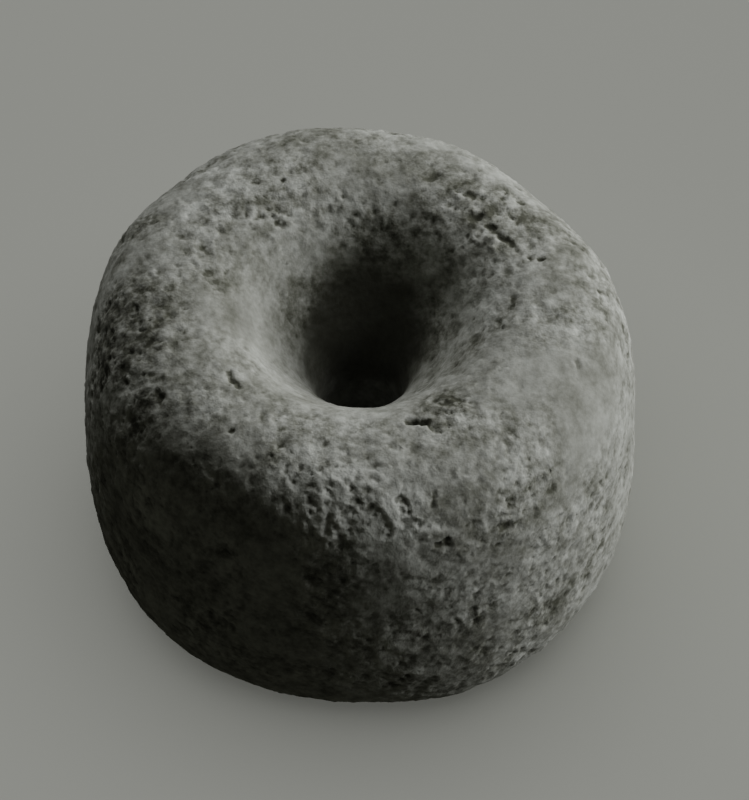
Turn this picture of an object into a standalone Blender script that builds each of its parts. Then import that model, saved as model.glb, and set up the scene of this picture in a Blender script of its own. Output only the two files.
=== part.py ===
# A stone spindle whorl: one thick, rounded, hand-pecked stone with a bore for the spindle.
# The bore opens into a bowl at each face. The stone lies on the worn flat ring of its underside.
# Metres, +Z up. The underside is at z = 0 and the bore's axis is the Z axis.
# Azimuths are in degrees, counter-clockwise from +X seen from above.

import math

import bmesh
import bpy
import numpy as np

# Main sizes
WIDTH = 0.0500              # across the girth, which is the stone's widest line
HEIGHT = 0.0330             # from the underside to the rim
BORE_WIDTH = 0.0074         # the bore at its narrowest, where the spindle sits
BOWL_DEPTH = 0.0080         # from the rim down to the lip of the upper bowl
UNDER_BOWL_DEPTH = 0.0064   # from the underside up to the lip of the lower bowl
FOOT_WIDTH = 0.0030         # of the flat ring that the stone rests on
RIM_ROUND = 0.0066          # radius that rolls the rim over into the upper bowl
FOOT_ROUND = 0.0022         # radius that rolls the foot ring over into the lower bowl

# Proportions of the free form
GIRTH_SHARE = 0.52          # height of the girth, of the whole height
RIM_SHARE = 0.50            # place of the rim's highest line, from the bowl's lip out to the girth
FOOT_SHARE = 0.53           # place of the foot ring's middle, from the lower lip out to the girth
LIP_FLARE = 1.54            # width of the upper lip, in widths of the bore
UNDER_LIP_FLARE = 1.50      # width of the lower lip, in widths of the bore
THROAT_SHARE = 0.32         # where the upper throat ends, of the way from lip to lip
UNDER_THROAT_SHARE = 0.26   # where the lower throat ends, of the same way
SHOULDER_FULLNESS = 3.1     # 2 is an ellipse, more is squarer
BELLY_FULLNESS = 2.7
MAX_ROUND_SHARE = 0.85      # of a bowl's run or depth, that its rounded edge may take

# Unevenness of a stone shaped by hand, with amounts in halves of the width. Each swell is centred
# on an azimuth and a height share, fades out over its spread and reach, and is negative where lean.
SWELLS = (
    {"azimuth": 116, "spread": 44, "height": 0.82, "reach": 1.00, "amount": 0.046},
    {"azimuth": 157, "spread": 27, "height": 0.70, "reach": 1.00, "amount": 0.044},
    {"azimuth": 260, "spread": 40, "height": 0.15, "reach": 0.90, "amount": -0.033},
    {"azimuth": 323, "spread": 68, "height": 0.22, "reach": 1.00, "amount": 0.013},
)
RIM_TILT = 0.018            # how much the rim rises towards its high side, in halves of the width
RIM_TILT_AZIMUTH = 100      # the high side

# Flats worn on the shoulder. Each faces a direction and lies at a distance from the stone's middle,
# in halves of the width, on a stone whose height is FLAT_ASPECT halves of its width.
FLATS = (
    {"azimuth": 43, "elevation": 30, "distance": 1.028},
    {"azimuth": 176, "elevation": 15, "distance": 1.034},
)
FLAT_ASPECT = 1.33
FLAT_SOFTNESS = 0.06        # how gently the form runs into a flat

# Fineness of the faceted form
ROUND_STEPS = 72
FACET_LENGTH = 0.0017       # along the profile
CURVE_STEPS = 120           # points worked out along a curve before it is cut into facets
MERGE_DISTANCE = 0.00001

STONE_COLOUR = (0.33, 0.335, 0.305, 1.0)
STONE_ROUGHNESS = 0.92


def quarterCurve(run, rise, fullness):
    """A quarter superellipse from its top (0, rise) out to its side (run, 0)."""
    turns = np.linspace(math.pi / 2, 0.0, CURVE_STEPS)
    outward = run * np.abs(np.cos(turns)) ** (2 / fullness)
    upward = rise * np.abs(np.sin(turns)) ** (2 / fullness)
    outward[0] = 0.0
    upward[-1] = 0.0
    return outward, upward


def bowlCurve(edgeRadius, edgeRound, lipRadius, lipDepth):
    """From a bowl's edge, rolled over by an arc, straight down to its lip, as radius and depth."""
    run = edgeRadius - lipRadius
    rolled = min(edgeRound, MAX_ROUND_SHARE * run, MAX_ROUND_SHARE * lipDepth)
    drop = lipDepth - rolled
    slope = math.atan2(drop, run) + math.asin(rolled / math.hypot(run, drop))
    turns = np.linspace(0.0, slope, CURVE_STEPS)
    radius = edgeRadius - rolled * np.sin(turns)
    depth = rolled * (1 - np.cos(turns))
    return np.append(radius, lipRadius), np.append(depth, lipDepth)


def throatCurve(lipRadius, boreRadius, lipDepth, endDepth):
    """From a lip down to where the bore runs straight, as radius and depth."""
    way = np.linspace(0.0, 1.0, CURVE_STEPS)
    radius = boreRadius + (lipRadius - boreRadius) * (1 - way) ** 2
    return radius, lipDepth + (endDepth - lipDepth) * way


def inFacets(radius, height):
    """A curve's points at even distances, about FACET_LENGTH apart, without its last point."""
    lengths = np.hypot(np.diff(radius), np.diff(height))
    travelled = np.concatenate(([0.0], np.cumsum(lengths)))
    count = max(1, round(travelled[-1] / FACET_LENGTH))
    stops = np.linspace(0.0, travelled[-1], count + 1)[:-1]
    return list(zip(np.interp(stops, travelled, radius), np.interp(stops, travelled, height)))


def stoneProfile():
    """The closed half section, down the outside from the rim and back up through the bore."""
    girth = WIDTH / 2
    bore = BORE_WIDTH / 2
    lip = bore * LIP_FLARE
    underLip = bore * UNDER_LIP_FLARE
    rim = lip + (girth - lip) * RIM_SHARE
    footMiddle = underLip + (girth - underLip) * FOOT_SHARE
    footOuter = footMiddle + FOOT_WIDTH / 2
    footInner = footMiddle - FOOT_WIDTH / 2
    girthHeight = HEIGHT * GIRTH_SHARE
    betweenLips = HEIGHT - BOWL_DEPTH - UNDER_BOWL_DEPTH
    throatDepth = BOWL_DEPTH + betweenLips * THROAT_SHARE
    underThroatHeight = UNDER_BOWL_DEPTH + betweenLips * UNDER_THROAT_SHARE

    shoulderOut, shoulderUp = quarterCurve(girth - rim, HEIGHT - girthHeight, SHOULDER_FULLNESS)
    bellyOut, bellyDown = quarterCurve(girth - footOuter, girthHeight, BELLY_FULLNESS)
    underBowl = bowlCurve(footInner, FOOT_ROUND, underLip, UNDER_BOWL_DEPTH)
    underThroat = throatCurve(underLip, bore, UNDER_BOWL_DEPTH, underThroatHeight)
    throatRadius, throatDown = throatCurve(lip, bore, BOWL_DEPTH, throatDepth)
    bowlRadius, bowlDown = bowlCurve(rim, RIM_ROUND, lip, BOWL_DEPTH)

    points = inFacets(rim + shoulderOut, girthHeight + shoulderUp)
    points += inFacets(footOuter + bellyOut[::-1], girthHeight - bellyDown[::-1])
    points += inFacets(np.array([footOuter, footInner]), np.zeros(2))
    points += inFacets(*underBowl)
    points += inFacets(*underThroat)
    points += inFacets(np.array([bore, bore]), np.array([underThroatHeight, HEIGHT - throatDepth]))
    points += inFacets(throatRadius[::-1], HEIGHT - throatDown[::-1])
    points += inFacets(bowlRadius[::-1], HEIGHT - bowlDown[::-1])
    return points


def turnedStone(collection):
    """The profile turned about the bore's axis, as one closed mesh."""
    points = stoneProfile()
    outline = bpy.data.meshes.new("stone_profile")
    corners = [(radius, 0.0, height) for radius, height in points]
    edges = [(number, (number + 1) % len(points)) for number in range(len(points))]
    outline.from_pydata(corners, edges, [])
    turned = bpy.data.objects.new("stone_profile", outline)
    collection.objects.link(turned)
    screw = turned.modifiers.new("turn", "SCREW")
    screw.axis = "Z"
    screw.steps = ROUND_STEPS
    screw.render_steps = ROUND_STEPS
    screw.use_merge_vertices = True
    screw.merge_threshold = MERGE_DISTANCE
    evaluated = turned.evaluated_get(bpy.context.evaluated_depsgraph_get())
    mesh = bpy.data.meshes.new_from_object(evaluated)
    bpy.data.objects.remove(turned)

    body = bmesh.new()
    body.from_mesh(mesh)
    bmesh.ops.remove_doubles(body, verts=body.verts, dist=MERGE_DISTANCE)
    body.to_mesh(mesh)
    body.free()
    return mesh


def fade(distance, reach):
    """1 at no distance, falling smoothly to 0 at the reach and beyond."""
    near = np.clip(np.abs(distance) / reach, 0.0, 1.0)
    return 0.5 + 0.5 * np.cos(math.pi * near)


def wearFlats(places):
    """Presses the points that stand beyond a flat's plane softly back to it, along its direction."""
    middle = np.array([0.0, 0.0, HEIGHT * GIRTH_SHARE])
    unit = np.array([WIDTH / 2, WIDTH / 2, HEIGHT / FLAT_ASPECT])
    for flat in FLATS:
        azimuth = math.radians(flat["azimuth"])
        elevation = math.radians(flat["elevation"])
        level = math.cos(elevation)
        facing = np.array([level * math.cos(azimuth), level * math.sin(azimuth), math.sin(elevation)])
        beyond = ((places - middle) / unit) @ facing - flat["distance"]
        eased = (beyond + FLAT_SOFTNESS) ** 2 / (4 * FLAT_SOFTNESS)
        cut = np.where(beyond > FLAT_SOFTNESS, beyond, np.where(beyond > -FLAT_SOFTNESS, eased, 0.0))
        places -= cut[:, None] * facing * unit


def shapeByHand(mesh):
    """Gives the turned form its swells, flats and tilted rim. The bore and the foot stay true."""
    places = np.empty(len(mesh.vertices) * 3)
    mesh.vertices.foreach_get("co", places)
    places = places.reshape(-1, 3)
    radius = np.hypot(places[:, 0], places[:, 1])
    azimuth = np.degrees(np.arctan2(places[:, 1], places[:, 0]))
    girth = WIDTH / 2
    lip = BORE_WIDTH / 2 * LIP_FLARE
    heightShare = np.clip(places[:, 2] / HEIGHT, 0.0, 1.0)
    outerShare = np.clip((radius - lip) / (girth - lip), 0.0, 1.0)

    growth = np.zeros(len(radius))
    for swell in SWELLS:
        aside = (azimuth - swell["azimuth"] + 180) % 360 - 180
        above = heightShare - swell["height"]
        growth += swell["amount"] * fade(aside, swell["spread"]) * fade(above, swell["reach"])
    newRadius = radius + girth * growth * outerShare
    rise = np.cos(np.radians(azimuth - RIM_TILT_AZIMUTH)) * heightShare ** 2 * radius / girth

    places[:, 0] *= newRadius / radius
    places[:, 1] *= newRadius / radius
    places[:, 2] += RIM_TILT * girth * rise
    wearFlats(places)
    mesh.vertices.foreach_set("co", places.reshape(-1))
    mesh.update()


def stoneMaterial():
    """Matt grey stone."""
    material = bpy.data.materials.new("stone")
    material.use_nodes = True
    shader = material.node_tree.nodes["Principled BSDF"]
    shader.inputs["Base Color"].default_value = STONE_COLOUR
    shader.inputs["Roughness"].default_value = STONE_ROUGHNESS
    shader.inputs["Metallic"].default_value = 0.0
    material.diffuse_color = STONE_COLOUR
    return material


def build():
    for thing in list(bpy.data.objects):
        bpy.data.objects.remove(thing)
    collection = bpy.data.collections.new("stone_spindle_whorl")
    bpy.context.scene.collection.children.link(collection)

    mesh = turnedStone(collection)
    shapeByHand(mesh)
    mesh.name = "whorl"
    mesh.shade_smooth()
    mesh.materials.clear()
    mesh.materials.append(stoneMaterial())
    whorl = bpy.data.objects.new("whorl", mesh)
    collection.objects.link(whorl)


build()
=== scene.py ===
import math

import bmesh
import bpy
import numpy as np
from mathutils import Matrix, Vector
from mathutils.bvhtree import BVHTree
from mathutils.kdtree import KDTree


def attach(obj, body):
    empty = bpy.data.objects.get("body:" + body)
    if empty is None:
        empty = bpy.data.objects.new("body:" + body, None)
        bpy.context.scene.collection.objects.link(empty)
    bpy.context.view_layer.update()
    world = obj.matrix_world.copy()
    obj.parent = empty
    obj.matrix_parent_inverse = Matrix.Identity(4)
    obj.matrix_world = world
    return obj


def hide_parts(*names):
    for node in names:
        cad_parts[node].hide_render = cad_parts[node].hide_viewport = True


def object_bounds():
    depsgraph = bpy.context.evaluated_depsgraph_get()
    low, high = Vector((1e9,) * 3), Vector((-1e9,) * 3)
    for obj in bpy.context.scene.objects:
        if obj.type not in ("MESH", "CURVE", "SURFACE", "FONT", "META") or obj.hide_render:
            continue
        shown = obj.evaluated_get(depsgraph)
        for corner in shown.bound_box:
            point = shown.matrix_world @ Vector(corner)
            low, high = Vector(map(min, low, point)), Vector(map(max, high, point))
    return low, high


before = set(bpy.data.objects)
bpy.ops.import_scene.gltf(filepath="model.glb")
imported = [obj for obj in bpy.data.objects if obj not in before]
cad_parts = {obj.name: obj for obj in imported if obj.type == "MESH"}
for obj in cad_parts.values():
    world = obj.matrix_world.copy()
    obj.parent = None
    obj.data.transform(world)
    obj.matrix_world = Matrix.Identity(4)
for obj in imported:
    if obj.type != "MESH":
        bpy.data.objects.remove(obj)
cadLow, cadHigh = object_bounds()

# Places and Blender's own lengths are in metres. A name that ends in Mm is in millimetres.
mm = 0.001
stage = bpy.context.scene


# the camera, at the photograph's viewing angle
photo = {
    "width": 749,
    "height": 800,
    "middlePixel": (359.7, 414.9),   # where the middle of the stone shows
    "middleHeightMm": 17.16,         # of that middle, above the floor
    "pixelsPerMm": 11.0,
    "elevation": 50,                 # degrees above the floor
    "distance": 0.9,                 # far enough for almost no perspective
    "filmMm": 24.0,                  # the picture's long side, on the film
    "nearestAndFarthest": (0.01, 20),  # that the camera shows
}


def makeCamera():
    tilt = math.radians(photo["elevation"])
    ahead = Vector((0, math.cos(tilt), -math.sin(tilt)))
    up = Vector((0, math.sin(tilt), math.cos(tilt)))
    right = Vector((1, 0, 0))
    besideMm = (photo["width"] / 2 - photo["middlePixel"][0]) / photo["pixelsPerMm"]
    aboveMm = (photo["middlePixel"][1] - photo["height"] / 2) / photo["pixelsPerMm"]
    middle = Vector((0, 0, photo["middleHeightMm"] * mm))
    aim = middle + right * besideMm * mm + up * aboveMm * mm
    camera = bpy.data.cameras.new("camera")
    camera.sensor_fit = "AUTO"
    camera.sensor_width = photo["filmMm"]
    seenMm = photo["height"] / photo["pixelsPerMm"]
    camera.lens = photo["filmMm"] * photo["distance"] / (seenMm * mm)
    camera.clip_start, camera.clip_end = photo["nearestAndFarthest"]
    holder = bpy.data.objects.new("camera", camera)
    holder.location = aim - ahead * photo["distance"]
    holder.rotation_mode = "QUATERNION"
    holder.rotation_quaternion = ahead.to_track_quat("-Z", "Y")
    stage.collection.objects.link(holder)
    stage.camera = holder
    return {"place": holder.location.copy(), "aim": aim, "ahead": ahead, "right": right, "up": up}


def throughPixel(eye, pixel):
    # the direction in which the camera sees a pixel of the photograph
    perPixel = mm / photo["pixelsPerMm"]
    aside = (pixel[0] - photo["width"] / 2) * perPixel
    above = (photo["height"] / 2 - pixel[1]) * perPixel
    return (eye["aim"] + eye["right"] * aside + eye["up"] * above - eye["place"]).normalized()


eye = makeCamera()
print("camera made")


# the stone's fine mesh
fineMesh = {
    "mergeMm": 0.005,
    "flatnessDegrees": 45,      # how far two triangles may turn and still join into one quad
    "rounding": 2,              # subdivision levels that take the facets off
    "spacingMm": 0.225,         # between points, before thinning out
    "quickSpacingMm": 0.4,
    "smoothing": 0.5,
    "smoothTurns": 6,
    "mostTriangles": 194000,
}


def makeFineStone():
    # the solid's own form with its facets rounded off, in even points close enough for small pits
    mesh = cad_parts["whorl"].data.copy()
    body = bmesh.new()
    body.from_mesh(mesh)
    bmesh.ops.remove_doubles(body, verts=body.verts, dist=fineMesh["mergeMm"] * mm)
    angle = math.radians(fineMesh["flatnessDegrees"])
    bmesh.ops.join_triangles(body, faces=body.faces,
                             angle_face_threshold=angle, angle_shape_threshold=angle)
    body.to_mesh(mesh)
    body.free()
    stone = bpy.data.objects.new("whorlStone", mesh)
    stage.collection.objects.link(stone)

    rounded = stone.modifiers.new("rounded", "SUBSURF")
    rounded.levels = fineMesh["rounding"]
    rounded.render_levels = fineMesh["rounding"]
    even = stone.modifiers.new("even", "REMESH")
    even.mode = "VOXEL"
    even.voxel_size = fineMesh["spacingMm"] * mm
    smooth = stone.modifiers.new("smooth", "SMOOTH")
    smooth.factor = fineMesh["smoothing"]
    smooth.iterations = fineMesh["smoothTurns"]
    freezeModifiers(stone)
    return stone


def freezeModifiers(piece):
    evaluated = piece.evaluated_get(bpy.context.evaluated_depsgraph_get())
    mesh = bpy.data.meshes.new_from_object(evaluated)
    piece.modifiers.clear()
    piece.data = mesh
    mesh.name = piece.name


def readPoints(mesh):
    places = np.empty(len(mesh.vertices) * 3)
    mesh.vertices.foreach_get("co", places)
    facings = np.empty(len(mesh.vertices) * 3)
    mesh.vertices.foreach_get("normal", facings)
    return places.reshape(-1, 3), facings.reshape(-1, 3)


stone = makeFineStone()
smoothPlaces, facings = readPoints(stone.data)
placesMm = smoothPlaces / mm
print("fine stone:", len(smoothPlaces), "points")


# the relief: what pecking, grinding, drilling and wear left on the surface
relief = {
    # what each layer of noise is drawn from, and the pits and marks
    "seeds": {"pits": 41, "handled": 42, "coarse": 43, "patchEdges": 44,
              "swells": 51, "ridges": 61, "grains": 71},
    "sunkMm": 0.06,             # how far the whole skin lies inside the solid
    "insetMm": 0.01,            # the least distance kept from the solid's box
    "footKeeps": 0.08,          # share of the relief that is left on the foot ring
    "boreKeeps": 0.5,           # share of the pits' depth that is left in the bore
    # gentle unevenness of a stone dressed by hand: size of a swell and its height
    "swellsMm": ((9.0, 0.15), (4.2, 0.06), (2.1, 0.055)),
    "swellsWorn": 0.5,          # share of their height that wear takes off
    # crooked ridges, and rounded grains with creases between them: their spacing and height
    "ridgesMm": ((1.9, 0.10), (1.0, 0.065)),
    "grainsMm": ((1.3, 0.085), (0.7, 0.065)),
    "grainsWorn": 0.6,          # share of both heights that wear takes off
    "meanNoise": 0.4,           # about the mean of the noise without its sign, which is taken off it
    # overlapping dents of the pecking stone, then fewer wide hollows, then many small pits
    "pecks": {"count": 2400, "widthMm": (1.2, 2.9), "depthMm": (0.03, 0.10), "longest": 1.5,
              "edge": 1.0, "ragged": 0.3, "wornKeeps": 0.5},
    "hollows": {"count": 520, "widthMm": (0.9, 1.9), "depthMm": (0.08, 0.2), "longest": 1.9,
                "edge": 1.6, "ragged": 0.6, "wornKeeps": 0.3},
    "pits": {"count": 8500, "widthMm": (0.42, 0.8), "depthMm": (0.05, 0.14), "longest": 2.6,
             "edge": 1.2, "ragged": 0.6, "wornKeeps": 0.5},
    # powers of the draws between those limits: the higher, the fewer pits are wide, deep or long
    "fewWide": 2,
    "fewDeep": 1.5,
    "fewLong": 3,
    "raggedMm": 0.5,            # size of the bays in a pit's outline
    "pitReach": 0.75,           # how far from its middle a pit may reach, in its lengths
    "leastFacing": 0.2,         # a point that faces further away than this stays out of a pit
    # the small pits that a mark is made of; how many depends on the mark's size in their widths
    "markPits": {"widthMm": 0.62, "least": 3, "perWidth": 4, "widths": (0.75, 1.25),
                 "depths": (0.45, 1.0), "longer": 1.3, "edge": 1.0, "ragged": 0.5},
    # for the colours: turns of averaging that give the level around a point, what counts as a full
    # hollow and a full ridge, and the share of the mottling's strength that wear takes off
    "levelTurns": 14,
    "fullHollowMm": 0.22,
    "fullRidgeMm": 0.12,
    "mottlingWorn": 0.5,
}

# where the skin is ground, handled or left coarse; a pair is the span over which an effect fades
wear = {
    "boreMm": (5.0, 7.5),       # from the axis: ground inside, as pecked outside
    "boreShare": 0.75,
    "footMm": (0.1, 0.7),       # above the floor
    "footFacing": (0.6, 0.95),  # how squarely the skin faces down
    "footShare": 0.85,
    "bowlSide": 222,            # degrees from +X towards +Y: the side of the bowl that is worn most
    "bowlSpread": (50, 95),     # degrees away from that side
    "bowlFacing": (0.2, 0.7),   # how squarely the skin faces up
    "bowlMm": (9.5, 14.0),      # from the axis
    "bowlShare": 0.75,
    "handledMm": 7.0,           # size of the areas that handling wore, anywhere on the stone
    "handledNoise": (0.62, 0.9),
    "handledShare": 0.3,
    "coarseMm": 6.0,            # size of the coarser areas
    "coarseNoise": (0.35, 0.8),
    "rough": (0.8, 1.3),        # strength of the relief, from the finest to the coarsest area
    "patchEdgeMm": (3.0, 1.2),  # size of the bays in a patch's outline, and how deep they are
    "patchCore": 0.35,          # share of a patch's radius where it is full
}

# places with a skin of their own, by the pixel in their middle: rougher or smoother, darker or lighter;
# where the colour of one is painted shade or painted light, that is noted at it
patches = {
    "leftShoulder": {"pixel": (126, 325), "radiusMm": 8.0, "rough": 0.7, "dark": 0.55},
    "leftShoulderLow": {"pixel": (146, 405), "radiusMm": 4.0, "rough": 0.5, "dark": 0.35},
    # painted light: the left shoulder just above the edge of the shade is made paler
    "leftPale": {"pixel": (202, 398), "radiusMm": 4.0, "rough": 0.2, "dark": -0.55},
    "leftInner": {"pixel": (228, 308), "radiusMm": 5.5, "rough": -0.3, "dark": 0.4},
    "farLeft": {"pixel": (275, 214), "radiusMm": 3.5, "rough": 0.2, "dark": 0.35},
    # painted shade: the far wall of the bowl, which lies in shade, is made darker
    "farBowl": {"pixel": (375, 235), "radiusMm": 4.0, "rough": 0.3, "dark": 0.2},
    "farTop": {"pixel": (447, 185), "radiusMm": 4.5, "rough": 0.3, "dark": 0.45},
    "farRight": {"pixel": (515, 205), "radiusMm": 4.0, "rough": 0.3, "dark": 0.35},
    "stepPatch": {"pixel": (455, 225), "radiusMm": 4.5, "rough": 0.4, "dark": 0.2},
    "rightPale": {"pixel": (489, 298), "radiusMm": 5.2, "rough": 0.2, "dark": -0.7},
    # painted shade: the throat patch darkens the bore and the deep bowl towards near-black, where shade
    # falls
    "throatShade": {"pixel": (366, 325), "radiusMm": 10.5, "rough": -0.3, "dark": 1.0},
    # painted shade: the left wall of the bowl, which faces the lamps, is made darker
    "bowlLeft": {"pixel": (255, 335), "radiusMm": 5.0, "rough": -0.4, "dark": 0.2},
    "ringRight": {"pixel": (415, 468), "radiusMm": 3.8, "rough": 0.1, "dark": -0.4},
    "slashPatch": {"pixel": (440, 408), "radiusMm": 3.5, "rough": 0.4, "dark": 0.5},
    # painted light: these four make the front shoulder paler along the edge of the shade
    "frontCurls": {"pixel": (325, 505), "radiusMm": 6.5, "rough": 0.6, "dark": -0.7},
    "frontHigh": {"pixel": (362, 508), "radiusMm": 5.5, "rough": 0.0, "dark": -0.6},
    "frontMiddle": {"pixel": (396, 526), "radiusMm": 4.4, "rough": 0.3, "dark": -1.1},
    "frontMiddleLow": {"pixel": (399, 544), "radiusMm": 3.8, "rough": 0.0, "dark": -0.8},
    "frontLow": {"pixel": (462, 605), "radiusMm": 4.5, "rough": 0.3, "dark": -0.3},
    "rightFront": {"pixel": (530, 500), "radiusMm": 4.5, "rough": 0.1, "dark": 0.5},
    "rightLow": {"pixel": (562, 600), "radiusMm": 5.0, "rough": 0.1, "dark": 0.45},
    "rightGirth": {"pixel": (590, 410), "radiusMm": 9.5, "rough": -0.7, "dark": 0.05},
}

# marks that the photograph shows, by the pixel in their middle; turns are counter-clockwise as seen there
marks = {
    "longPitLeft": {"pixel": (234, 380), "lengthMm": 2.6, "widthMm": 1.0, "depthMm": 0.42, "turn": -72},
    "slash": {"pixel": (416, 421), "lengthMm": 2.9, "widthMm": 0.95, "depthMm": 0.6, "turn": 2},
    "slashTail": {"pixel": (436, 430), "lengthMm": 1.4, "widthMm": 0.6, "depthMm": 0.2, "turn": -30},
    "creaseOne": {"pixel": (447, 402), "lengthMm": 2.2, "widthMm": 0.6, "depthMm": 0.22, "turn": 18},
    "creaseTwo": {"pixel": (463, 400), "lengthMm": 2.2, "widthMm": 0.6, "depthMm": 0.24, "turn": -28},
    "speck": {"pixel": (231, 431), "lengthMm": 0.7, "widthMm": 0.6, "depthMm": 0.34, "turn": 0},
    "frontPit": {"pixel": (403, 506), "lengthMm": 2.2, "widthMm": 1.3, "depthMm": 0.3, "turn": -60},
    "frontPitRight": {"pixel": (444, 545), "lengthMm": 1.9, "widthMm": 1.2, "depthMm": 0.3, "turn": 10},
    "frontPitHigh": {"pixel": (434, 500), "lengthMm": 1.8, "widthMm": 0.7, "depthMm": 0.2, "turn": 80},
    "nearPitOne": {"pixel": (375, 465), "lengthMm": 1.5, "widthMm": 0.7, "depthMm": 0.2, "turn": 0},
    "nearPitTwo": {"pixel": (391, 446), "lengthMm": 1.3, "widthMm": 0.6, "depthMm": 0.16, "turn": -15},
    "farMarkOne": {"pixel": (258, 217), "lengthMm": 1.6, "widthMm": 0.7, "depthMm": 0.24, "turn": 30},
    "farMarkTwo": {"pixel": (279, 224), "lengthMm": 1.6, "widthMm": 0.7, "depthMm": 0.24, "turn": -20},
    "stepHollowOne": {"pixel": (476, 217), "lengthMm": 1.7, "widthMm": 1.3, "depthMm": 0.34, "turn": 10},
    "stepHollowTwo": {"pixel": (490, 228), "lengthMm": 1.5, "widthMm": 1.1, "depthMm": 0.36, "turn": -30},
    "stepHollowThree": {"pixel": (507, 240), "lengthMm": 2.2, "widthMm": 0.9, "depthMm": 0.3, "turn": -40},
    "stepPitOne": {"pixel": (531, 257), "lengthMm": 0.8, "widthMm": 0.6, "depthMm": 0.34, "turn": -20},
    "stepPitTwo": {"pixel": (540, 258), "lengthMm": 0.8, "widthMm": 0.6, "depthMm": 0.34, "turn": 0},
    "farPitOne": {"pixel": (449, 205), "lengthMm": 1.0, "widthMm": 0.8, "depthMm": 0.3, "turn": 0},
    "farPitTwo": {"pixel": (521, 201), "lengthMm": 0.9, "widthMm": 0.6, "depthMm": 0.24, "turn": -40},
    "rightPatch": {"pixel": (513, 302), "lengthMm": 1.7, "widthMm": 1.0, "depthMm": 0.24, "turn": 80},
    "rightPatchFar": {"pixel": (580, 363), "lengthMm": 1.8, "widthMm": 0.9, "depthMm": 0.18, "turn": 90},
    "topPitOne": {"pixel": (432, 178), "lengthMm": 1.8, "widthMm": 1.2, "depthMm": 0.26, "turn": 20},
    "topPitTwo": {"pixel": (474, 196), "lengthMm": 2.4, "widthMm": 1.0, "depthMm": 0.26, "turn": -30},
}

# places that stand proud, given in the same way
raised = {
    "stepFace": {"pixel": (484, 240), "lengthMm": 3.2, "widthMm": 1.5, "depthMm": 0.26, "turn": -30},
    "frontCurl": {"pixel": (387, 514), "lengthMm": 2.8, "widthMm": 1.0, "depthMm": 0.12, "turn": -65},
    "lowStreak": {"pixel": (470, 594), "lengthMm": 2.4, "widthMm": 0.6, "depthMm": 0.2, "turn": 25},
    "leftSpeck": {"pixel": (219, 364), "lengthMm": 1.4, "widthMm": 0.9, "depthMm": 0.18, "turn": 50},
    "rightStreakOne": {"pixel": (551, 558), "lengthMm": 1.6, "widthMm": 0.5, "depthMm": 0.18, "turn": 55},
    "rightStreakTwo": {"pixel": (574, 583), "lengthMm": 1.6, "widthMm": 0.5, "depthMm": 0.18, "turn": 60},
}


def cloud(places, size, seed):
    # smooth noise from about -1 to 1 whose swells are about the size across
    tableSize, fullSwing = 256, 1.7
    dice = np.random.default_rng(seed)
    order = dice.permutation(tableSize)
    slopes = dice.normal(size=(tableSize, 3))
    slopes /= np.linalg.norm(slopes, axis=1)[:, None]
    cells = places / size
    base = np.floor(cells).astype(int)
    part = cells - base
    eased = part ** 3 * (part * (part * 6 - 15) + 10)
    total = np.zeros(len(places))
    for corner in np.ndindex(2, 2, 2):
        pick = order[(base[:, 0] + corner[0]) % tableSize]
        pick = order[(pick + base[:, 1] + corner[1]) % tableSize]
        pick = order[(pick + base[:, 2] + corner[2]) % tableSize]
        lean = np.sum(slopes[pick] * (part - corner), axis=1)
        weight = np.prod(np.where(corner, eased, 1 - eased), axis=1)
        total += lean * weight
    return total * fullSwing


def ramp(values, start, end):
    # 0 before the start, 1 after the end, eased in between
    share = np.clip((values - start) / (end - start), 0, 1)
    return share * share * (3 - 2 * share)


def between(limits, share):
    return limits[0] + (limits[1] - limits[0]) * share


def pointTree(places):
    tree = KDTree(len(places))
    for number, place in enumerate(places):
        tree.insert(place, number)
    tree.balance()
    return tree


def sideways(facing, turn):
    # two directions along the surface, the first turned by an angle
    nearlyUpright = abs(facing[2]) >= 0.9
    helper = np.array((0.0, 1.0, 0.0)) if nearlyUpright else np.array((0.0, 0.0, 1.0))
    first = np.cross(helper, facing)
    first /= np.linalg.norm(first)
    second = np.cross(facing, first)
    along = first * math.cos(turn) + second * math.sin(turn)
    return along, np.cross(facing, along)


def sinkPit(depths, place, facing, along, across, size, edge, ragged):
    # one pit of a length, width and depth, kept where it is deeper than what is there already
    length, width, depth = size
    found = nearby.find_range(place, max(length, width) * relief["pitReach"])
    numbers = np.array([number for _, number, _ in found], dtype=int)
    if not len(numbers):
        return
    offsets = placesMm[numbers] - place
    distance = np.hypot(offsets @ along / (length / 2), offsets @ across / (width / 2))
    distance = distance * (1 + ragged * raggedness[numbers])
    sunk = depth * np.clip(1 - distance ** 2, 0, 1) ** edge
    sunk[facings[numbers] @ facing < relief["leastFacing"]] = 0
    depths[numbers] = np.maximum(depths[numbers], sunk)


def scatterPits(kind):
    # pits of one kind all over the stone, shallower where it is worn and deeper where it is rough
    depths = np.zeros(len(placesMm))
    for number in dice.integers(0, len(placesMm), kind["count"]):
        width = between(kind["widthMm"], dice.random() ** relief["fewWide"])
        depth = between(kind["depthMm"], dice.random() ** relief["fewDeep"])
        depth *= (1 - (1 - kind["wornKeeps"]) * worn[number]) * rough[number]
        length = width * between((1, kind["longest"]), dice.random() ** relief["fewLong"])
        along, across = sideways(facings[number], dice.random() * math.tau)
        sinkPit(depths, placesMm[number], facings[number], along, across, (length, width, depth),
                kind["edge"], kind["ragged"])
    return depths


def onStone(pixel):
    # the point and facing of the stone behind a pixel of the photograph
    place, facing, _, _ = surface.ray_cast(eye["place"], throughPixel(eye, pixel))
    if place is None:
        raise ValueError("no stone behind the pixel " + str(pixel))
    return np.array(place) / mm, np.array(facing)


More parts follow.
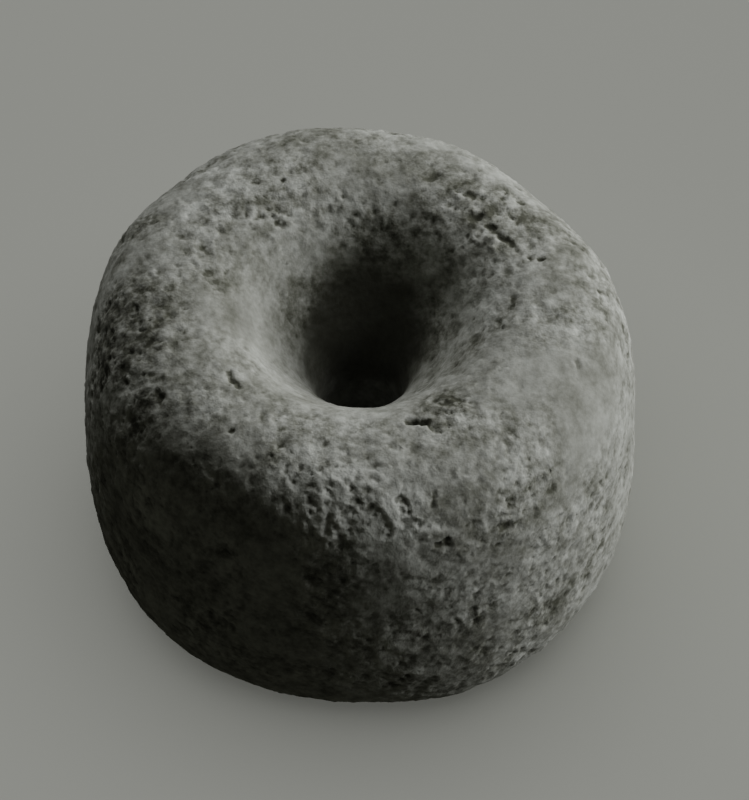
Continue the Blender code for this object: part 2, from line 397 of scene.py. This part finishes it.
def sinkMark(depths, mark):
    # a ragged mark: a chain of small pits along its line
    place, facing = onStone(mark["pixel"])
    turn = math.radians(mark["turn"])
    along = np.array(eye["right"]) * math.cos(turn) + np.array(eye["up"]) * math.sin(turn)
    along -= facing * (along @ facing)
    along /= np.linalg.norm(along)
    across = np.cross(facing, along)
    kind = relief["markPits"]
    small = min(kind["widthMm"], mark["widthMm"])
    free = mark["lengthMm"] - small, mark["widthMm"] - small
    for _ in range(kind["least"] + round(kind["perWidth"] * free[0] * (1 + free[1]) / small)):
        beside = (dice.random() - 0.5) * free[0], (dice.random() - 0.5) * free[1]
        spot = place + along * beside[0] + across * beside[1]
        width = small * between(kind["widths"], dice.random())
        depth = mark["depthMm"] * between(kind["depths"], dice.random())
        sinkPit(depths, spot, facing, along, across, (width * kind["longer"], width, depth),
                kind["edge"], kind["ragged"])


def blurred(mesh, values, turns):
    # each point's value averaged with its neighbours', a number of times
    ends = np.empty(len(mesh.edges) * 2, dtype=np.int64)
    mesh.edges.foreach_get("vertices", ends)
    first, second = ends[0::2], ends[1::2]
    count = np.bincount(ends, minlength=len(values)) + 1
    for _ in range(turns):
        total = values.copy()
        total += np.bincount(first, values[second], len(values))
        total += np.bincount(second, values[first], len(values))
        values = total / count
    return values


radiusMm = np.hypot(placesMm[:, 0], placesMm[:, 1])
heightMm = placesMm[:, 2]
azimuth = np.degrees(np.arctan2(placesMm[:, 1], placesMm[:, 0])) % 360
nearby = pointTree(placesMm)
surface = BVHTree.FromPolygons([Vector(place) for place in smoothPlaces],
                               [tuple(face.vertices) for face in stone.data.polygons])
seeds = relief["seeds"]
raggedness = cloud(placesMm, relief["raggedMm"], seeds["pits"])
dice = np.random.default_rng(seeds["pits"])

# how worn the skin is, from 0 to 1
inBore = 1 - ramp(radiusMm, *wear["boreMm"])
onFoot = (1 - ramp(heightMm, *wear["footMm"])) * ramp(-facings[:, 2], *wear["footFacing"])
inBowl = ramp(facings[:, 2], *wear["bowlFacing"]) * (1 - ramp(radiusMm, *wear["bowlMm"]))
fromSide = np.abs((azimuth - wear["bowlSide"] + 180) % 360 - 180)
bowlWear = inBowl * (1 - ramp(fromSide, *wear["bowlSpread"]))
handled = ramp(0.5 + 0.5 * cloud(placesMm, wear["handledMm"], seeds["handled"]), *wear["handledNoise"])
worn = np.clip(wear["bowlShare"] * bowlWear + wear["handledShare"] * handled, 0, 1)
worn = np.maximum(worn, wear["boreShare"] * inBore)
worn = np.maximum(worn, wear["footShare"] * onFoot)

# how rough it is, around 1, and how much darker than elsewhere, with the painted shade and painted light of
# some patches
coarse = ramp(0.5 + 0.5 * cloud(placesMm, wear["coarseMm"], seeds["coarse"]), *wear["coarseNoise"])
rough = between(wear["rough"], coarse)
dark = np.zeros(len(placesMm))
baySize, bayDepth = wear["patchEdgeMm"]
bays = bayDepth * cloud(placesMm, baySize, seeds["patchEdges"])
for patch in patches.values():
    place, _ = onStone(patch["pixel"])
    away = np.linalg.norm(placesMm - place, axis=1) + bays
    share = 1 - ramp(away, wear["patchCore"] * patch["radiusMm"], patch["radiusMm"])
    rough += patch["rough"] * share
    dark += patch["dark"] * share

# how far each point is raised, in millimetres
height = np.zeros(len(placesMm))
for number, (size, amount) in enumerate(relief["swellsMm"]):
    height += amount * cloud(placesMm, size, seeds["swells"] + number) * (1 - relief["swellsWorn"] * worn)
for number, (size, amount) in enumerate(relief["ridgesMm"]):
    crooked = cloud(placesMm, size, seeds["ridges"] + number)
    height += amount * (relief["meanNoise"] - np.abs(crooked)) * (1 - relief["grainsWorn"] * worn) * rough
for number, (size, amount) in enumerate(relief["grainsMm"]):
    lumpy = cloud(placesMm, size, seeds["grains"] + number)
    height += amount * (np.abs(lumpy) - relief["meanNoise"]) * (1 - relief["grainsWorn"] * worn) * rough
pecked = scatterPits(relief["pecks"])
pitDepth = np.maximum(scatterPits(relief["hollows"]), scatterPits(relief["pits"]))
for mark in marks.values():
    sinkMark(pitDepth, mark)
lift = np.zeros(len(placesMm))
for mark in raised.values():
    sinkMark(lift, mark)
height += lift - pecked - pitDepth * (1 - (1 - relief["boreKeeps"]) * inBore) - relief["sunkMm"]
height *= 1 - (1 - relief["footKeeps"]) * onFoot
print("relief made")

inset = relief["insetMm"] * mm
finalPlaces = smoothPlaces + facings * (height * mm)[:, None]
finalPlaces = np.clip(finalPlaces, np.array(cadLow) + inset, np.array(cadHigh) - inset)
stone.data.vertices.foreach_set("co", finalPlaces.reshape(-1))

# what the material reads at each point
proud = height - blurred(stone.data, height, relief["levelTurns"])
skin = {
    "hollow": np.clip(pitDepth / relief["fullHollowMm"], 0, 1),
    "ridge": np.clip(proud / relief["fullRidgeMm"], -1, 1),
    "worn": worn,
    "dark": dark,
    "rough": rough * (1 - relief["mottlingWorn"] * worn),
}
for name, values in skin.items():
    stone.data.attributes.new(name, "FLOAT", "POINT").data.foreach_set("value", values.astype(np.float32))
stone.data.update()

triangles = sum(len(face.vertices) - 2 for face in stone.data.polygons)
if triangles > fineMesh["mostTriangles"]:
    thinner = stone.modifiers.new("thinner", "DECIMATE")
    thinner.ratio = fineMesh["mostTriangles"] / triangles
    thinner.use_collapse_triangulate = True
    freezeModifiers(stone)
stone.data.shade_smooth()
print("stone has", sum(len(face.vertices) - 2 for face in stone.data.polygons), "triangles")


# the stone's material
def addNode(tree, kind, x, y, **settings):
    made = tree.nodes.new(kind)
    made.location = (x, y)
    for name, value in settings.items():
        setattr(made, name, value)
    return made


def feed(tree, socket, value):
    # a value is another node's output or a plain number or colour
    if isinstance(value, bpy.types.NodeSocket):
        tree.links.new(value, socket)
    else:
        socket.default_value = value


def mixColours(tree, x, y, factor, first, second):
    made = addNode(tree, "ShaderNodeMix", x, y, data_type="RGBA")
    for socket, value in ((made.inputs[0], factor), (made.inputs[6], first), (made.inputs[7], second)):
        feed(tree, socket, value)
    return made.outputs[2]


def combine(tree, x, y, operation, *values):
    made = addNode(tree, "ShaderNodeMath", x, y, operation=operation)
    for socket, value in zip(made.inputs, values):
        feed(tree, socket, value)
    return made.outputs[0]


def rangeOf(tree, x, y, value, start, end, low, high):
    made = addNode(tree, "ShaderNodeMapRange", x, y, interpolation_type="SMOOTHSTEP")
    tree.links.new(value, made.inputs["Value"])
    for name, number in (("From Min", start), ("From Max", end), ("To Min", low), ("To Max", high)):
        made.inputs[name].default_value = number
    return made.outputs["Result"]


stoneLook = {
    # from the darkest speck to the palest grain, and where each lies between 0 and 1
    "colours": (
        (0.0, (0.060, 0.061, 0.045, 1.0)),
        (0.3, (0.165, 0.168, 0.143, 1.0)),
        (0.6, (0.300, 0.307, 0.278, 1.0)),
        (1.0, (0.470, 0.484, 0.450, 1.0)),
    ),
    # the near-black of the darkest patches: painted shade in the throat, a darker tone in the others
    "shadeAndDarkColour": (0.029, 0.028, 0.018, 1.0),
    # the mottling: its coarsest spots per millimetre, its octaves, how strong the finer ones are
    "mottle": {"Scale": 0.55, "Detail": 4.0, "Roughness": 0.70},
    "flecks": {"Scale": 2.0, "Detail": 1.0, "Roughness": 0.5},
    "clouds": {"Scale": 0.14, "Detail": 1.0, "Roughness": 0.5},
    "mottleWidth": 0.40,        # how wide a span of the mottling the colours cover: less is more contrast
    "calmest": 0.35,            # share of the mottling that is left where the skin is smoothest
    "fleckShare": 0.25,
    "cloudShare": 0.25,
    "roughSpan": (0.2, 1.7),    # from the smoothest skin to the roughest
    "strongest": 1.15,          # share of the mottling where it is roughest
    "ridgeShare": 0.045,        # how much paler a ridge is
    "hollowShare": 0.17,        # how much darker the deepest pits are: painted shade in them, and dirt
    "hollowSpan": (0.15, 1.1),
    "darkShare": 0.13,          # how much the dark and pale patches move the colours, painted shade and painted light among them
    "shadeAndDarkShare": 0.85,
    "shadeAndDarkSpan": (0.3, 1.1),     # how dark a patch has to be before the near-black shows in it, and for all of it; in the throat it is painted shade
    "shine": 0.25,
    # the bump: coarse and fine grains, with the depth of each
    "grains": {"Scale": 2.6, "Detail": 2.0, "Roughness": 0.6},
    "grainDepth": 0.00008,
    "grit": {"Scale": 7.0, "Detail": 1.0, "Roughness": 0.5},
    "gritDepth": 0.000010,
    "roughness": 0.92,
    "wornRoughness": 0.78,
}


def makeStoneMaterial():
    look = stoneLook
    material = bpy.data.materials.new("peckedStone")
    material.use_nodes = True
    tree = material.node_tree
    tree.nodes.clear()
    output = addNode(tree, "ShaderNodeOutputMaterial", 1500, 0)
    shader = addNode(tree, "ShaderNodeBsdfPrincipled", 1200, 0)
    tree.links.new(shader.outputs[0], output.inputs[0])
    shader.inputs["Specular IOR Level"].default_value = look["shine"]
    where = addNode(tree, "ShaderNodeTexCoord", -1900, 0)
    inMm = addNode(tree, "ShaderNodeVectorMath", -1700, 0, operation="SCALE")
    inMm.inputs["Scale"].default_value = 1 / mm
    tree.links.new(where.outputs["Object"], inMm.inputs[0])
    halfway = 0.5               # the mean of the noise, and the middle of the colours

    def attribute(name, y):
        return addNode(tree, "ShaderNodeAttribute", -1400, y, attribute_name=name).outputs["Fac"]

    def noise(kind, y):
        made = addNode(tree, "ShaderNodeTexNoise", -1400, y)
        tree.links.new(inMm.outputs[0], made.inputs["Vector"])
        for name, value in look[kind].items():
            made.inputs[name].default_value = value
        return made.outputs["Fac"]

    def swing(source, y, amount, middle=halfway):
        # how far a value is from its middle, times an amount
        away = combine(tree, -1100, y, "SUBTRACT", source, middle)
        return combine(tree, -950, y, "MULTIPLY", away, amount)

    # the mottling, stronger where the skin is rough
    wornHere, darkHere = attribute("worn", -800), attribute("dark", -1000)
    contrast = rangeOf(tree, -1100, -1200, attribute("rough", -1200), *look["roughSpan"],
                       look["calmest"], look["strongest"])
    spots = combine(tree, -800, 600, "ADD", swing(noise("mottle", 600), 600, 1.0),
                    swing(noise("flecks", 400), 400, look["fleckShare"]))
    tone = combine(tree, -700, 600, "MULTIPLY_ADD", spots, contrast, halfway)

    # then what moves its tone: broad clouds, ridges, hollows, which paint shade into the pits besides their
    # dirt, and the dark and pale patches, some of them painted shade or painted light
    shifts = (
        swing(noise("clouds", 200), 200, look["cloudShare"]),
        swing(attribute("ridge", -600), -600, look["ridgeShare"], 0.0),
        rangeOf(tree, -1100, -400, attribute("hollow", -400), *look["hollowSpan"],
                0.0, -look["hollowShare"]),
        swing(darkHere, -1000, -look["darkShare"], 0.0),
    )
    for number, shift in enumerate(shifts):
        tone = combine(tree, -700 + 150 * number, 400, "ADD", tone, shift)
    spread = addNode(tree, "ShaderNodeMapRange", 100, 400)
    tree.links.new(tone, spread.inputs["Value"])
    spread.inputs["From Min"].default_value = halfway - look["mottleWidth"] / 2
    spread.inputs["From Max"].default_value = halfway + look["mottleWidth"] / 2
    colours = addNode(tree, "ShaderNodeValToRGB", 300, 400)
    stops = colours.color_ramp.elements
    stops[0].position, stops[0].color = look["colours"][0]
    stops[1].position, stops[1].color = look["colours"][-1]
    for position, colour in look["colours"][1:-1]:
        stops.new(position).color = colour
    tree.links.new(spread.outputs["Result"], colours.inputs["Fac"])
    # painted shade: the throat, and less so the other darkest patches, mixed towards the near-black
    shadeAndDark = rangeOf(tree, 500, -1000, darkHere, *look["shadeAndDarkSpan"], 0.0, look["shadeAndDarkShare"])
    tree.links.new(mixColours(tree, 900, 400, shadeAndDark, colours.outputs["Color"], look["shadeAndDarkColour"]),
                   shader.inputs["Base Color"])
    tree.links.new(rangeOf(tree, 900, 0, wornHere, 0.0, 1.0, look["roughness"], look["wornRoughness"]),
                   shader.inputs["Roughness"])

    # the bump: fine grit on top of grains
    grains = combine(tree, 200, -1400, "MULTIPLY", noise("grains", -1400), contrast)
    coarseBump = addNode(tree, "ShaderNodeBump", 700, -300)
    coarseBump.inputs["Distance"].default_value = look["grainDepth"]
    tree.links.new(grains, coarseBump.inputs["Height"])
    fineBump = addNode(tree, "ShaderNodeBump", 900, -300)
    fineBump.inputs["Distance"].default_value = look["gritDepth"]
    tree.links.new(noise("grit", -1600), fineBump.inputs["Height"])
    tree.links.new(coarseBump.outputs["Normal"], fineBump.inputs["Normal"])
    tree.links.new(fineBump.outputs["Normal"], shader.inputs["Normal"])
    return material


stone.data.materials.clear()
stone.data.materials.append(makeStoneMaterial())
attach(stone, "root")
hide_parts("whorl")
print("stone finished")


# the floor and the lamps
floorLook = {
    "size": 6.0,
    "colour": (0.56, 0.57, 0.525, 1.0),
    "roughness": 0.9,
    "shine": 0.1,
}
studio = {
    # each lamp on the stone: degrees from +X towards +Y, degrees up, metres off, wide and high, and watts
    "lamps": {
        "keyLight": {"azimuth": 15, "elevation": 17, "distance": 0.8, "size": (0.95, 0.32), "power": 7.2},
        "backLight": {"azimuth": 104, "elevation": 30, "distance": 0.8, "size": (0.45, 0.5), "power": 2.5},
        "highLight": {"azimuth": 20, "elevation": 48, "distance": 0.8, "size": (0.25, 0.25), "power": 1.25},
    },
    "floorLightHeight": 1.1,
    "floorLightSize": (1.6, 1.6),
    "floorPower": 4.9,
    "floorFillPower": 3.8,      # of a second one without a shadow, which softens the first one's
    "worldColour": (1.0, 0.99, 0.78, 1.0),
    "worldBrightness": 0.027,
}


def makeFloor():
    half = floorLook["size"] / 2
    mesh = bpy.data.meshes.new("floor")
    corners = [(-half, -half, 0), (half, -half, 0), (half, half, 0), (-half, half, 0)]
    mesh.from_pydata(corners, [], [(0, 1, 2, 3)])
    floor = bpy.data.objects.new("floor", mesh)
    stage.collection.objects.link(floor)
    material = bpy.data.materials.new("floor")
    material.use_nodes = True
    shader = material.node_tree.nodes["Principled BSDF"]
    shader.inputs["Base Color"].default_value = floorLook["colour"]
    shader.inputs["Roughness"].default_value = floorLook["roughness"]
    shader.inputs["Specular IOR Level"].default_value = floorLook["shine"]
    mesh.materials.append(material)
    floor.visible_diffuse = False
    floor.visible_glossy = False
    return floor


def makeLight(name, place, target, size, power, litPiece):
    # a soft oval lamp that lights one piece alone
    lamp = bpy.data.lights.new(name, "AREA")
    lamp.shape = "ELLIPSE"
    lamp.size, lamp.size_y = size
    lamp.energy = power
    holder = bpy.data.objects.new(name, lamp)
    holder.location = place
    holder.rotation_mode = "QUATERNION"
    holder.rotation_quaternion = (Vector(target) - Vector(place)).to_track_quat("-Z", "Y")
    stage.collection.objects.link(holder)
    lit = bpy.data.collections.new(name + "Lights")
    lit.objects.link(litPiece)
    holder.light_linking.receiver_collection = lit
    return holder


floor = makeFloor()
middle = Vector((0, 0, photo["middleHeightMm"] * mm))
for name, lamp in studio["lamps"].items():
    turn, rise = math.radians(lamp["azimuth"]), math.radians(lamp["elevation"])
    way = Vector((math.cos(rise) * math.cos(turn), math.cos(rise) * math.sin(turn), math.sin(rise)))
    makeLight(name, middle + way * lamp["distance"], middle, lamp["size"], lamp["power"], stone)
above = Vector((0, 0, studio["floorLightHeight"]))
makeLight("floorLight", above, (0, 0, 0), studio["floorLightSize"], studio["floorPower"], floor)
fill = makeLight("floorFill", above, (0, 0, 0), studio["floorLightSize"], studio["floorFillPower"], floor)
fill.data.use_shadow = False

world = bpy.data.worlds.new("world")
world.use_nodes = True
background = world.node_tree.nodes["Background"]
background.inputs["Color"].default_value = studio["worldColour"]
background.inputs["Strength"].default_value = studio["worldBrightness"]
stage.world = world
stage.view_settings.view_transform = "Filmic"
print("studio made")
